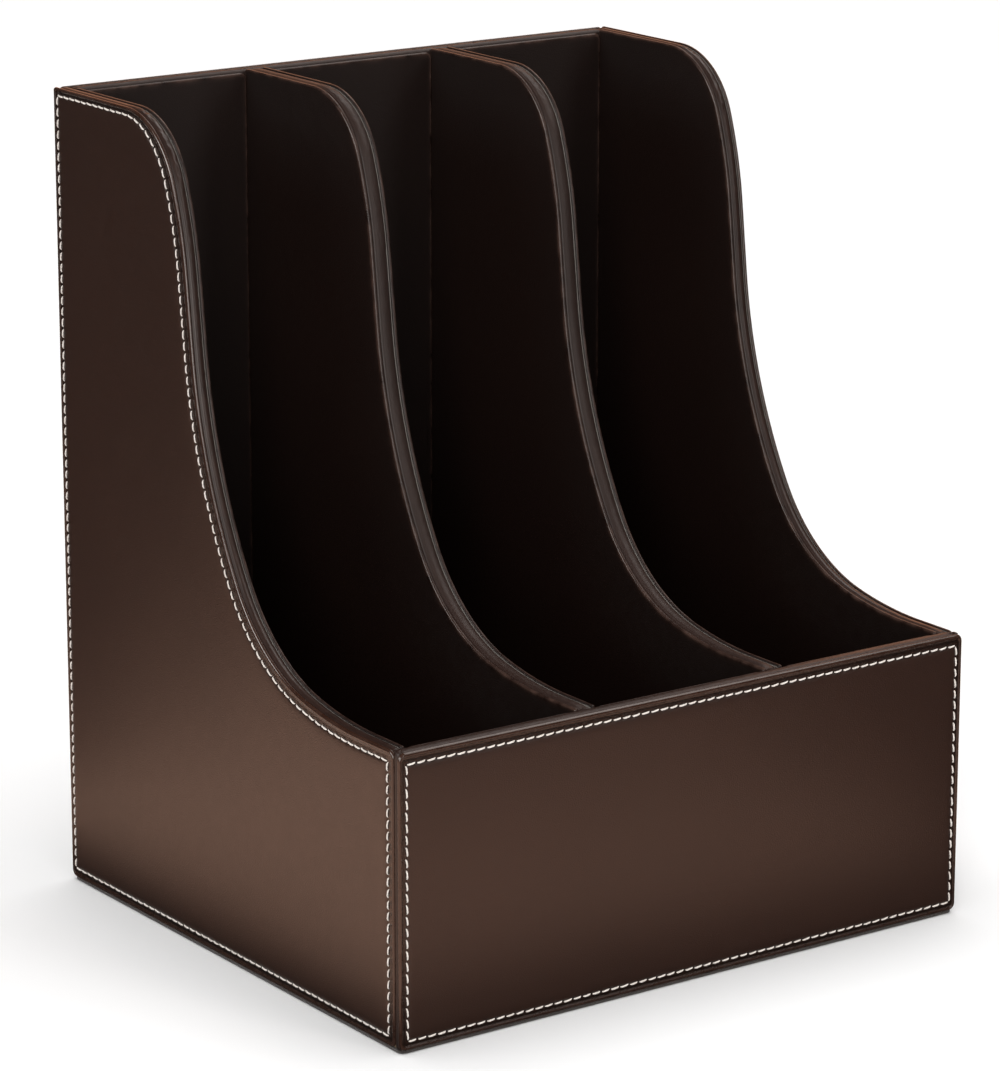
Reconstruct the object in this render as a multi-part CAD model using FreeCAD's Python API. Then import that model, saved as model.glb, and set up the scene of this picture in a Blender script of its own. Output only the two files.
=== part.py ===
import FreeCAD, Part
import math
import os

# Magazine file holder: a leather-covered board box with three upright bays.
# Millimetres. +Z is up, -Y is the open front, +X is the right side seen from the front.
# The origin is the centre of the underside.

Vector = FreeCAD.Vector

# Overall size
WIDTH = 280.0
DEPTH = 250.0
HEIGHT = 340.0
FRONT_HEIGHT = 121.0
BAYS = 3

# Thickness of what the walls are made of
BOARD = 6.4
SIDE_BOARD = 4.6
BACK_BOARD = 5.0
LEATHER = 0.8
CARD = 1.0
PANEL = LEATHER + CARD
END_LINING = 1.4
FLOOR_LINING = 1.0
BINDING = 1.6
BASE_PAD = 1.2
HOUSING = 2.0

# Rounding
COVER_CORNER = 3.0
LINING_CORNER = 2.0
COVER_EDGE = 1.2
LINING_EDGE = 1.0
END_LINING_EDGE = 0.6
BINDING_EDGE = 1.3

# Stitching: a loop of thread sunk in a channel round each outer panel
STITCH_INSET = 3.8
THREAD_WIDTH = 1.0
THREAD_PROUD = 0.3
CHANNEL_DEPTH = 0.4
STITCH_CORNER = 1.5

# Small setbacks
CORNER_STRIP = 3.0
PAD_MARGIN = 1.0
BACK_LINING_DROP = 1.4
FRONT_LINING_DROP = 1.0

# Shaped top edge of the sides and dividers, from the back towards the front:
# level, then a convex shoulder, a steep straight, a concave sweep, and level again.
# Each arc is (radius, degrees turned).
SHOULDER_DEPTH = 56.8
SHOULDER = ((37.0, 70.0), (172.0, 13.0))
SWEEP = ((217.0, 24.5), (78.0, 46.0), (179.0, 12.5))

# Faces of the walls, from the outside in
FACE_X = WIDTH / 2 - THREAD_PROUD
BOARD_OUT_X = FACE_X - PANEL
BOARD_IN_X = BOARD_OUT_X - SIDE_BOARD
LINING_X = BOARD_IN_X - PANEL
BACK_Y = DEPTH / 2 - THREAD_PROUD
BACK_BOARD_OUT_Y = BACK_Y - PANEL
BACK_BOARD_IN_Y = BACK_BOARD_OUT_Y - BACK_BOARD
BACK_LINING_Y = BACK_BOARD_IN_Y - END_LINING
FRONT_Y = -BACK_Y
FRONT_BOARD_OUT_Y = FRONT_Y + PANEL
FRONT_BOARD_IN_Y = FRONT_BOARD_OUT_Y + BOARD
FRONT_LINING_Y = FRONT_BOARD_IN_Y + END_LINING
SIDE_COVER_FRONT_Y = FRONT_BOARD_OUT_Y + CORNER_STRIP

# Levels
BASE_Z = BASE_PAD
FLOOR_Z = BASE_Z + BOARD
LINING_FLOOR_Z = FLOOR_Z + FLOOR_LINING
HOUSING_Z = FLOOR_Z - HOUSING

# Dividers
DIVIDER_X = WIDTH / (2 * BAYS)
DIVIDERS = {"left": -DIVIDER_X, "right": DIVIDER_X}
HALF_DIVIDER = BOARD / 2 + PANEL
SIDES = {"left": -1, "right": 1}
BAY_WALLS = {
    "left": (-LINING_X, -DIVIDER_X - HALF_DIVIDER),
    "middle": (-DIVIDER_X + HALF_DIVIDER, DIVIDER_X - HALF_DIVIDER),
    "right": (DIVIDER_X + HALF_DIVIDER, LINING_X),
}


def inward(heading):
    """Unit vector in the YZ plane from the shaped edge into the wall."""
    return Vector(0, math.sin(heading), -math.cos(heading))


def arc_drop(radius, heading, turned):
    """Height lost along an arc between two headings below level."""
    return radius * abs(math.cos(turned) - math.cos(heading))


def straight_length():
    """Length of the steep straight that brings the edge down to the front's height."""
    drop = HEIGHT - FRONT_HEIGHT
    heading = 0.0
    for radius, degrees in SHOULDER:
        turned = heading + math.radians(degrees)
        drop -= arc_drop(radius, heading, turned)
        heading = turned
    steepest = heading
    for radius, degrees in SWEEP:
        turned = heading - math.radians(degrees)
        drop -= arc_drop(radius, heading, turned)
        heading = turned
    return drop / math.sin(steepest)


def rim(y_back, y_front, inset):
    """Edges of the shaped top, back to front at X = 0, lowered square to itself by inset."""
    heading = 0.0
    point = Vector(0, BACK_Y - SHOULDER_DEPTH, HEIGHT - inset)
    edges = [Part.makeLine(Vector(0, y_back, HEIGHT - inset), point)]
    for radius, degrees in SHOULDER:
        reach = radius - inset
        turn = math.radians(degrees)
        centre = point + inward(heading) * reach
        middle = centre - inward(heading + turn / 2) * reach
        end = centre - inward(heading + turn) * reach
        edges.append(Part.Arc(point, middle, end).toShape())
        point = end
        heading += turn
    end = point + Vector(0, -math.cos(heading), -math.sin(heading)) * straight_length()
    edges.append(Part.makeLine(point, end))
    point = end
    for radius, degrees in SWEEP:
        reach = radius + inset
        turn = math.radians(degrees)
        centre = point - inward(heading) * reach
        middle = centre + inward(heading - turn / 2) * reach
        end = centre + inward(heading - turn) * reach
        edges.append(Part.Arc(point, middle, end).toShape())
        point = end
        heading -= turn
    edges.append(Part.makeLine(point, Vector(0, y_front, point.z)))
    return edges


def corner_arc(start, corner, end):
    """Quarter circle that rounds a square corner."""
    radius = (corner - start).Length
    centre = start + end - corner
    outwards = corner - centre
    outwards.normalize()
    return Part.Arc(start, centre + outwards * radius, end).toShape()


def rounded_chain(points, radius):
    """Lines through the points, with each inner corner rounded to radius."""
    if radius == 0:
        return [Part.makeLine(a, b) for a, b in zip(points, points[1:])]
    edges = []
    start = points[0]
    for before, corner, after in zip(points, points[1:], points[2:]):
        back = before - corner
        back.normalize()
        onward = after - corner
        onward.normalize()
        arc_start = corner + back * radius
        arc_end = corner + onward * radius
        if (arc_start - start).Length > 1e-6:
            edges.append(Part.makeLine(start, arc_start))
        edges.append(corner_arc(arc_start, corner, arc_end))
        start = arc_end
    if (points[-1] - start).Length > 1e-6:
        edges.append(Part.makeLine(start, points[-1]))
    return edges


def side_plate(x_low, thickness, y_back, y_front, z_low, inset=0.0, corner=0.0):
    """Upright plate with the shaped top edge, between x_low and x_low + thickness."""
    top = rim(y_back - corner, y_front + corner, inset)
    low_front = Vector(0, y_front, z_low)
    low_back = Vector(0, y_back, z_low)
    high_front = Vector(0, y_front, FRONT_HEIGHT - inset)
    high_back = Vector(0, y_back, HEIGHT - inset)
    rim_end = high_front + Vector(0, corner, 0)
    rim_start = high_back - Vector(0, corner, 0)
    chain = [rim_end, high_front, low_front, low_back, high_back, rim_start]
    if corner == 0:
        chain = chain[1:-1]
    outline = Part.Wire(top + rounded_chain(chain, corner))
    plate = Part.Face(outline).extrude(Vector(thickness, 0, 0))
    plate.translate(Vector(x_low, 0, 0))
    return plate


def flat_plate(x_low, x_high, y_low, y_high, z_low, z_high, corner=0.0):
    """Upright plate facing the front or back, with its four corners rounded."""
    middle = (x_low + x_high) / 2
    chain = [
        Vector(middle, y_low, z_low),
        Vector(x_high, y_low, z_low),
        Vector(x_high, y_low, z_high),
        Vector(x_low, y_low, z_high),
        Vector(x_low, y_low, z_low),
        Vector(middle, y_low, z_low),
    ]
    outline = Part.Wire(rounded_chain(chain, corner))
    return Part.Face(outline).extrude(Vector(0, y_high - y_low, 0))


def block(x_low, x_high, y_low, y_high, z_low, z_high):
    """Square-cornered block between two corners."""
    corner = Vector(x_low, y_low, z_low)
    return Part.makeBox(x_high - x_low, y_high - y_low, z_high - z_low, corner)


def round_face_edges(solid, axis, level, radius):
    """Round every edge that lies in the plane where the axis coordinate equals level."""
    edges = [edge for edge in solid.Edges if lies_in_plane(edge, axis, level)]
    return solid.makeFillet(radius, edges)


def lies_in_plane(edge, axis, level):
    """True when an edge's whole bounding box is in one plane square to an axis."""
    bounds = edge.BoundBox
    low = {"x": bounds.XMin, "y": bounds.YMin}[axis]
    high = {"x": bounds.XMax, "y": bounds.YMax}[axis]
    return abs(low - level) < 1e-4 and abs(high - level) < 1e-4


def span(face, towards, depth):
    """Lowest coordinate of a layer that starts at a face and goes depth the given way."""
    return face if towards > 0 else face - depth


def save(name, shape):
    """Write one sub-part."""
    shape.exportStep("parts/" + name + ".step")


def covered_side(face_x, board_way, y_back, y_front, z_low, corner, edge):
    """Leather turned over a card, and the card, for a panel with the shaped top edge."""
    leather = side_plate(span(face_x, board_way, PANEL), PANEL, y_back, y_front, z_low, 0.0, corner)
    leather = round_face_edges(leather, "x", face_x, edge)
    card_x = span(face_x + board_way * LEATHER, board_way, CARD)
    card = side_plate(
        card_x, CARD, y_back - LEATHER, y_front + LEATHER, z_low + LEATHER, LEATHER, corner - LEATHER
    )
    return leather.cut(card), card


def covered_end(half_width, face_y, board_way, z_high):
    """Leather turned over a card, and the card, for the front or back panel."""
    y_low = span(face_y, board_way, PANEL)
    leather = flat_plate(-half_width, half_width, y_low, y_low + PANEL, BASE_Z, z_high, COVER_CORNER)
    leather = round_face_edges(leather, "y", face_y, COVER_EDGE)
    card_y = span(face_y + board_way * LEATHER, board_way, CARD)
    card = flat_plate(
        -half_width + LEATHER,
        half_width - LEATHER,
        card_y,
        card_y + CARD,
        BASE_Z + LEATHER,
        z_high - LEATHER,
        COVER_CORNER - LEATHER,
    )
    return leather.cut(card), card


def side_thread(side):
    """Loop of stitching round a side panel."""
    outer_inset = STITCH_INSET - THREAD_WIDTH / 2
    inner_inset = STITCH_INSET + THREAD_WIDTH / 2
    depth = CHANNEL_DEPTH + THREAD_PROUD
    x_low = span(side * (FACE_X + THREAD_PROUD), -side, depth)
    plates = []
    for inset, corner in (
        (outer_inset, STITCH_CORNER + THREAD_WIDTH / 2),
        (inner_inset, STITCH_CORNER - THREAD_WIDTH / 2),
    ):
        plates.append(
            side_plate(
                x_low, depth, BACK_Y - inset, SIDE_COVER_FRONT_Y + inset, BASE_Z + inset, inset, corner
            )
        )
    return plates[0].cut(plates[1])


def end_thread(half_width, face_y, board_way, z_high):
    """Loop of stitching round the front or back panel."""
    depth = CHANNEL_DEPTH + THREAD_PROUD
    y_low = span(face_y - board_way * THREAD_PROUD, board_way, depth)
    plates = []
    for inset, corner in (
        (STITCH_INSET - THREAD_WIDTH / 2, STITCH_CORNER + THREAD_WIDTH / 2),
        (STITCH_INSET + THREAD_WIDTH / 2, STITCH_CORNER - THREAD_WIDTH / 2),
    ):
        plates.append(
            flat_plate(
                -half_width + inset,
                half_width - inset,
                y_low,
                y_low + depth,
                BASE_Z + inset,
                z_high - inset,
                corner,
            )
        )
    return plates[0].cut(plates[1])


def save_stitched(name, leather, card, thread):
    """Write an outer panel's leather with its stitch channel, its card and its thread."""
    save(name + "_leather", leather.cut(thread))
    save(name + "_card", card)
    save(name + "_thread", thread)


def shaped_binding(x_middle, width, y_back):
    """Crowned leather strip over a board's shaped top edge."""
    x_low = x_middle - width / 2
    outer = rim(y_back, FRONT_BOARD_IN_Y, 0.0)
    inner = rim(y_back, FRONT_BOARD_IN_Y, BINDING)
    ends = [
        Part.makeLine(outer[-1].Vertexes[-1].Point, inner[-1].Vertexes[-1].Point),
        Part.makeLine(inner[0].Vertexes[0].Point, outer[0].Vertexes[0].Point),
    ]
    outline = Part.Wire(outer + ends[:1] + inner[::-1] + ends[1:])
    strip = Part.Face(outline).extrude(Vector(width, 0, 0))
    strip.translate(Vector(x_low, 0, 0))
    crown = []
    for x_edge in (x_low, x_low + width):
        for guide in outer:
            middle = guide.CenterOfMass + Vector(x_edge, 0, 0)
            crown += [edge for edge in strip.Edges if (edge.CenterOfMass - middle).Length < 1e-3]
    return strip.makeFillet(BINDING_EDGE, crown)


def level_binding(half_width, y_low, y_high, z_high):
    """Crowned leather strip over a board's level top edge, running left to right."""
    strip = block(-half_width, half_width, y_low, y_high, z_high - BINDING, z_high)
    crown = [
        edge
        for edge in strip.Edges
        if edge.BoundBox.XLength > half_width and edge.BoundBox.ZMin > z_high - BINDING / 2
    ]
    return strip.makeFillet(BINDING_EDGE, crown)


def corner_strip(side):
    """Rounded leather strip down a front corner, over the front board's end."""
    x_low = span(side * BOARD_OUT_X, side, PANEL)
    strip = block(
        x_low, x_low + PANEL, FRONT_BOARD_OUT_Y, SIDE_COVER_FRONT_Y, BASE_Z, FRONT_HEIGHT
    )
    return round_face_edges(strip, "x", side * FACE_X, COVER_EDGE)


def divider_plate(x_middle):
    """Divider board, with its edges housed in the base, front and back boards."""
    return side_plate(
        x_middle - BOARD / 2,
        BOARD,
        BACK_BOARD_IN_Y + HOUSING,
        FRONT_BOARD_IN_Y - HOUSING,
        HOUSING_Z,
        BINDING,
    )


def make_boards():
    """The glued board box: base, back, front, two sides and two dividers."""
    base = block(-BOARD_IN_X, BOARD_IN_X, FRONT_BOARD_IN_Y, BACK_BOARD_IN_Y, BASE_Z, FLOOR_Z)
    back = block(
        -BOARD_IN_X, BOARD_IN_X, BACK_BOARD_IN_Y, BACK_BOARD_OUT_Y, BASE_Z, HEIGHT - BINDING
    )
    front = block(
        -BOARD_OUT_X,
        BOARD_OUT_X,
        FRONT_BOARD_OUT_Y,
        FRONT_BOARD_IN_Y,
        BASE_Z,
        FRONT_HEIGHT - BINDING,
    )
    for name, x_middle in DIVIDERS.items():
        divider = divider_plate(x_middle)
        base = base.cut(divider)
        back = back.cut(divider)
        front = front.cut(divider)
        save(name + "_divider_board", divider)
    save("base_board", base)
    save("back_board", back)
    save("front_board", front)
    for name, side in SIDES.items():
        x_low = span(side * BOARD_IN_X, side, SIDE_BOARD)
        board = side_plate(x_low, SIDE_BOARD, BACK_BOARD_OUT_Y, FRONT_BOARD_IN_Y, BASE_Z, BINDING)
        save(name + "_side_board", board)


def make_bindings():
    """Leather strips that cover the edges of the boards."""
    for name, side in SIDES.items():
        middle = side * (BOARD_IN_X + BOARD_OUT_X) / 2
        save(name + "_side_binding", shaped_binding(middle, SIDE_BOARD, BACK_BOARD_OUT_Y))
    for name, x_middle in DIVIDERS.items():
        save(name + "_divider_binding", shaped_binding(x_middle, BOARD, BACK_BOARD_IN_Y))
    save("back_binding", level_binding(BOARD_IN_X, BACK_BOARD_IN_Y, BACK_BOARD_OUT_Y, HEIGHT))
    save(
        "front_binding",
        level_binding(BOARD_OUT_X, FRONT_BOARD_OUT_Y, FRONT_BOARD_IN_Y, FRONT_HEIGHT),
    )
    for name, side in SIDES.items():
        save(name + "_corner_strip", corner_strip(side))


def make_outer_panels():
    """Stitched panels on the sides, front and back."""
    for name, side in SIDES.items():
        leather, card = covered_side(
            side * FACE_X, -side, BACK_Y, SIDE_COVER_FRONT_Y, BASE_Z, COVER_CORNER, COVER_EDGE
        )
        save_stitched(name + "_panel", leather, card, side_thread(side))
    leather, card = covered_end(FACE_X, FRONT_Y, 1, FRONT_HEIGHT)
    save_stitched("front_panel", leather, card, end_thread(FACE_X, FRONT_Y, 1, FRONT_HEIGHT))
    leather, card = covered_end(BOARD_OUT_X, BACK_Y, -1, HEIGHT)
    save_stitched("back_panel", leather, card, end_thread(BOARD_OUT_X, BACK_Y, -1, HEIGHT))


def make_wall_linings():
    """Leather-covered cards on the bay side of the side boards and on both divider faces."""
    walls = {}
    for name, side in SIDES.items():
        walls[name + "_side_lining"] = (side * LINING_X, side)
    for name, x_middle in DIVIDERS.items():
        for facing, way in SIDES.items():
            face_x = x_middle + way * HALF_DIVIDER
            walls[name + "_divider_" + facing + "_lining"] = (face_x, -way)
    for name, (face_x, board_way) in walls.items():
        leather, card = covered_side(
            face_x,
            board_way,
            BACK_BOARD_IN_Y,
            FRONT_BOARD_IN_Y,
            FLOOR_Z,
            LINING_CORNER,
            LINING_EDGE,
        )
        save(name, leather)
        save(name + "_card", card)


def make_bay_linings():
    """Leather on the back, front and floor of each bay."""
    for bay, (x_low, x_high) in BAY_WALLS.items():
        back = flat_plate(
            x_low,
            x_high,
            BACK_LINING_Y,
            BACK_BOARD_IN_Y,
            FLOOR_Z,
            HEIGHT - BACK_LINING_DROP,
            COVER_CORNER,
        )
        save(bay + "_bay_back_lining", round_face_edges(back, "y", BACK_LINING_Y, END_LINING_EDGE))
        front = flat_plate(
            x_low,
            x_high,
            FRONT_BOARD_IN_Y,
            FRONT_LINING_Y,
            FLOOR_Z,
            FRONT_HEIGHT - FRONT_LINING_DROP,
            COVER_CORNER,
        )
        save(bay + "_bay_front_lining", round_face_edges(front, "y", FRONT_LINING_Y, END_LINING_EDGE))
        floor = block(x_low, x_high, FRONT_LINING_Y, BACK_LINING_Y, FLOOR_Z, LINING_FLOOR_Z)
        save(bay + "_bay_floor_lining", floor)


def make_base_pad():
    """Felt sheet under the whole box, which it stands on."""
    pad = block(
        -WIDTH / 2 + PAD_MARGIN,
        WIDTH / 2 - PAD_MARGIN,
        -DEPTH / 2 + PAD_MARGIN,
        DEPTH / 2 - PAD_MARGIN,
        0,
        BASE_PAD,
    )
    corners = [edge for edge in pad.Edges if edge.BoundBox.ZLength > BASE_PAD / 2]
    save("base_pad", pad.makeFillet(COVER_CORNER, corners))


os.makedirs("parts", exist_ok=True)
make_boards()
make_bindings()
make_outer_panels()
make_wall_linings()
make_bay_linings()
make_base_pad()
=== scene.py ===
import math
import random

import bpy
import numpy as np
from mathutils import Matrix, Vector, geometry, kdtree, noise


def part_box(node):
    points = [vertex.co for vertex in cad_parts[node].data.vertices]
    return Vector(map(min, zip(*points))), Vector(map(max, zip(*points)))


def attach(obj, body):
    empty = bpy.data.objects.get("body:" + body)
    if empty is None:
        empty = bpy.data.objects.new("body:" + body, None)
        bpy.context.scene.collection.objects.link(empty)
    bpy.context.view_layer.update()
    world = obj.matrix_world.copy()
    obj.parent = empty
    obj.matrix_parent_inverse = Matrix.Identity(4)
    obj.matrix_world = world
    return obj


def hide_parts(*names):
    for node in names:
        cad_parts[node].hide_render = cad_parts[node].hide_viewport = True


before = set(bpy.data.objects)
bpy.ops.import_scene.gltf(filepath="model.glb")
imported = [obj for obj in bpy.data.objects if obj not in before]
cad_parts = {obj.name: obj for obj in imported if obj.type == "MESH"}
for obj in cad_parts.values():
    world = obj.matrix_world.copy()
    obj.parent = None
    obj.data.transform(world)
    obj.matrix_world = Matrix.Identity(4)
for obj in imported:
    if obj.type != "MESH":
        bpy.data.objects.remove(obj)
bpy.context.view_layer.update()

# A leather-covered magazine file holder with three bays. +Z is up, -Y is the low front, and +X
# is the right side seen from the front. The object's lengths are millimetres until a mesh is made.
# The camera and the studio are in metres.
MM = 0.001
BODY = "root"

# Panels: thickness, the card in their pocket, the rounding of their corners and of their turned
# edges, and the smallest rounding that is left where an outline moves in
PANEL = 1.8
CARD_THICKNESS = 1.0
COVER_CORNER = 3.0
LINING_CORNER = 2.0
LINING_TIP = 0.8
LINING_ROLL = 0.8
BACK_LINING_ROLL = 0.65
THIN_ROLL = 0.3
PEAK_CORNER = 1.2
BACK_LINING_CORNER = 3.0
FLOOR_LINING_CORNER = 0.4
FELT_CORNER = 3.0
SHARPEST = 0.05

# Fineness of the meshes, and the length of a quarter turn as a multiple of its radius
FINE_STEP = 1.0
COARSE_STEP = 2.0
FACE_GRID = 9.0
TURN_STEPS = 6
QUARTER_TURN = 1.6

# Stitches: row, pitch, one stitch, and how much it varies
STITCH_INSET = 3.8
STITCH_PITCH = 4.6
STITCH_LENGTH = 3.65
STITCH_SLANT = 0.22
SLANT_SPREAD = 0.07
SHIFT_SPREAD = 0.06
LENGTH_SPREAD = (0.95, 1.04)
STITCH_SINK = 0.10
STITCH_DIVE = 0.50
THREAD_RADIUS = 0.35
THREAD_TAPER = 0.35
THREAD_WIDE = 1.05
THREAD_FLAT = 0.85
PLY_DEPTH = 0.11
PLY_TURNS = 4.2

# Dents that the stitches pull in the leather
DENT_DEPTH = 0.25
DENT_RADIUS = 0.8
DENT_REACH = 1.6
# Width of the painted shade that darkens the leather along the stitch channel
STITCH_SHADE_WIDTH = 0.55

# Polish and painted highlight of the rolled lip, and painted shade in the groove between it and
# the stitches
WEAR_HIGHLIGHT_INSET = 0.5
WEAR_HIGHLIGHT_WIDTH = 0.65
GROOVE_SHADE_INSET = 2.3
GROOVE_SHADE_WIDTH = 0.8

# Slow unevenness of the leather: (size, depth), and how far up an edge it starts
RIPPLE = (35.0, 0.05)
SWELL = (90.0, 0.06)
RIPPLE_FROM = 0.6

# Section of a sewn panel's edge, as (inset, drop below the face)
ROLLED_LIP = (
    (0.60, 1.80),
    (0.30, 1.72),
    (0.08, 1.50),
    (0.00, 1.20),
    (0.03, 0.97),
    (0.12, 0.72),
    (0.26, 0.51),
    (0.45, 0.34),
    (0.67, 0.23),
    (0.90, 0.20),
    (1.13, 0.23),
    (1.35, 0.34),
)
STITCHED_MARGIN = (
    (1.58, 0.52),
    (1.85, 0.64),
    (2.30, 0.66),
    (2.80, 0.56),
    (3.30, 0.46),
    (3.80, 0.46),
    (4.20, 0.30),
    (4.70, 0.15),
    (5.50, 0.05),
    (7.00, 0.00),
    (9.00, 0.00),
)
PLAIN_FACE = ((1.3, 0.0), (2.6, 0.0), (5.0, 0.0))

# Bindings: crown, sewn seam, skirts down the board's faces, and wrinkles
BINDING_THICKNESS = 1.6
CROWN_STEPS = 24
SEAM_PLACE = 0.58
SEAM_WIDTH = 0.25
SEAM_DEPTH = 0.12
SKIRT = 5.0
SKIRT_OUT = 0.25
SKIRT_DROP = 0.6
CREASE_SIZE = (3.4, 7.0)
CREASE_SHARPNESS = 0.18
CREASE_LEAN = 0.6
SWELL_SIZE = (9.0, 5.0)
SWELL_SHARE = 0.3

# How the ends of the bindings and of the corner strips are tucked down: (depth, reach)
END_TUCK = (0.4, 1.2)
STRIP_TUCK = (0.5, 1.0)
FRONT_TUCK_REACH = 4.0
STRIP_SINK = 0.35
STRIP_CREASE = 0.12

# Gathered folds
FOLD_RINGS = 7
FOLD_SPOKES = 30
FOLD_PLEATS = 5
FOLD_WAVER = 0.15

# Shaped top edge of the sides and dividers, as the CAD draws it: (radius, degrees turned)
SHOULDER_DEPTH = 56.8
SHOULDER = ((37.0, 70.0), (172.0, 13.0))
SWEEP = ((217.0, 24.5), (78.0, 46.0), (179.0, 12.5))

# How much wider or narrower the sewn margin is along each edge than the nominal inset
SPREAD_TOP = 0.80
SPREAD_SHAPED = 1.35
SPREAD_SILL = 1.20
SPREAD_BACK = 0.87
SPREAD_LOW = 1.10
SPREAD_END = 0.90


def cad_box(node):
    """Lowest and highest corners of a CAD node, in millimetres."""
    low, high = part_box(node)
    return [value / MM for value in low], [value / MM for value in high]


TOP_Z = cad_box("back_panel_leather")[1][2]
BACK_Y = cad_box("left_panel_leather")[1][1]
FRONT_Y = cad_box("front_panel_leather")[0][1]
FRONT_Z = cad_box("front_panel_leather")[1][2]


# ---------------------------------------------------------------- outlines


def line_points(start, end, count):
    """Evenly spaced points from start up to, but not including, end."""
    steps = np.arange(count)[:, None] / count
    return np.array(start) * (1 - steps) + np.array(end) * steps


def arc_points(centre, radius, start, end, count):
    """Points round an arc between two angles in degrees, without the last one."""
    angles = np.radians(start + (end - start) * np.arange(count) / count)
    return np.array(centre) + radius * np.c_[np.cos(angles), np.sin(angles)]


def steps_for(length, step):
    """How many steps of about this size fit a length."""
    return max(2, int(round(length / step)))


def drop_of(radius, heading, turned):
    """Height lost along an arc between two headings below level, in radians."""
    return radius * abs(math.cos(turned) - math.cos(heading))


def steep_straight():
    """Length of the straight between the shoulder and the sweep."""
    drop = TOP_Z - FRONT_Z
    heading = 0.0
    for radius, degrees in SHOULDER:
        turned = heading + math.radians(degrees)
        drop -= drop_of(radius, heading, turned)
        heading = turned
    steepest = heading
    for radius, degrees in SWEEP:
        turned = heading - math.radians(degrees)
        drop -= drop_of(radius, heading, turned)
        heading = turned
    return drop / math.sin(steepest)


def rim_points(y_start, y_end, inset, step):
    """Shaped top edge in the YZ plane, from the back at y_start to the front at y_end."""
    shoulder_y = BACK_Y - SHOULDER_DEPTH
    count = steps_for(SHOULDER_DEPTH, step)
    parts = [line_points((y_start, TOP_Z), (shoulder_y, TOP_Z), count)]
    headings = [np.zeros(count)]
    point = np.array((shoulder_y, TOP_Z))
    heading = 0.0
    bends = [(radius, degrees, 1) for radius, degrees in SHOULDER]
    bends += [(0.0, 0.0, 0)]
    bends += [(radius, degrees, -1) for radius, degrees in SWEEP]
    for radius, degrees, way in bends:
        facing = np.array((math.sin(math.radians(heading)), -math.cos(math.radians(heading))))
        if way:
            count = steps_for(radius * math.radians(degrees), step)
            centre = point + way * radius * facing
            first = heading + 90 * way
            parts.append(arc_points(centre, radius, first, first + way * degrees, count))
            headings.append(heading + way * degrees * np.arange(count) / count)
            heading += way * degrees
            point = arc_points(centre, radius, heading + 90 * way, 0, 1)[0]
        else:
            count = steps_for(steep_straight(), step)
            end = point + steep_straight() * np.array((facing[1], -facing[0]))
            parts.append(line_points(point, end, count))
            headings.append(np.full(count, heading))
            point = end
    count = steps_for(point[0] - FRONT_Y, step)
    parts.append(line_points(point, (y_end, point[1]), count))
    headings.append(np.zeros(count))
    rim = np.concatenate(parts)
    angles = np.radians(np.concatenate(headings))
    inwards = np.c_[np.sin(angles), -np.cos(angles)]
    spread = spread_along(rim, angles)
    end = np.array((y_end, point[1] - inset * SPREAD_SILL))
    return rim + inset * spread[:, None] * inwards, end


def spread_along(rim, angles):
    """How wide the margin is along the shaped edge: narrow on top, widest on the steep part."""
    slope = np.clip(angles / np.radians(60.0), 0, 1)
    level = np.where(rim[:, 1] > (TOP_Z + FRONT_Z) / 2, SPREAD_TOP, SPREAD_SILL)
    ease = slope * slope * (3 - 2 * slope)
    return level + (SPREAD_SHAPED - level) * ease


def side_outline(y_back, y_front, z_low, corner, tip, inset, step):
    """Closed outline of a side or divider panel in (Y, Z), moved in by inset.

    Corner rounds its two lower corners and tip its front top corner.
    """
    back, front, low = y_back - inset * SPREAD_BACK, y_front + inset, z_low + inset * SPREAD_LOW
    radius = max(corner - inset, SHARPEST)
    nose = max(tip - inset, SHARPEST)
    peak = max(PEAK_CORNER - inset, SHARPEST)
    top, sill = TOP_Z - inset * SPREAD_TOP, FRONT_Z - inset * SPREAD_SILL
    bends = steps_for(corner * QUARTER_TURN, step / 2)
    rise = steps_for(FRONT_Z - z_low, step)
    run = steps_for(y_back - y_front, step)
    tall = steps_for(TOP_Z - z_low, step)
    rim, _ = rim_points(back - peak, front + nose, inset, step)
    return np.concatenate(
        [
            rim,
            arc_points((front + nose, sill - nose), nose, 90, 180, bends),
            line_points((front, sill - nose), (front, low + radius), rise),
            arc_points((front + radius, low + radius), radius, 180, 270, bends),
            line_points((front + radius, low), (back - radius, low), run),
            arc_points((back - radius, low + radius), radius, 270, 360, bends),
            line_points((back, low + radius), (back, top - peak), tall),
            arc_points((back - peak, top - peak), peak, 0, 90, bends),
        ]
    )


def box_outline(u_low, u_high, v_low, v_high, corner, inset, step):
    """Closed outline of a rectangular panel, moved in by inset."""
    left, right = u_low + inset * SPREAD_END, u_high - inset * SPREAD_END
    low, high = v_low + inset, v_high - inset * SPREAD_SILL
    radius = max(corner - inset, SHARPEST)
    bends = steps_for(corner * QUARTER_TURN, step / 2)
    across = steps_for(u_high - u_low, step)
    upright = steps_for(v_high - v_low, step)
    return np.concatenate(
        [
            line_points((right - radius, high), (left + radius, high), across),
            arc_points((left + radius, high - radius), radius, 90, 180, bends),
            line_points((left, high - radius), (left, low + radius), upright),
            arc_points((left + radius, low + radius), radius, 180, 270, bends),
            line_points((left + radius, low), (right - radius, low), across),
            arc_points((right - radius, low + radius), radius, 270, 360, bends),
            line_points((right, low + radius), (right, high - radius), upright),
            arc_points((right - radius, high - radius), radius, 0, 90, bends),
        ]
    )


def inside(points, outline):
    """Which points lie inside a closed outline."""
    ends = np.roll(outline, -1, axis=0)
    found = np.zeros(len(points), bool)
    for (u0, v0), (u1, v1) in zip(outline, ends):
        crosses = (v0 > points[:, 1]) != (v1 > points[:, 1])
        if not crosses.any():
            continue
        at = u0 + (points[:, 1] - v0) * (u1 - u0) / (v1 - v0 + 1e-12)
        found ^= crosses & (points[:, 0] < at)
    return found


# ---------------------------------------------------------------- meshes


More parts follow.
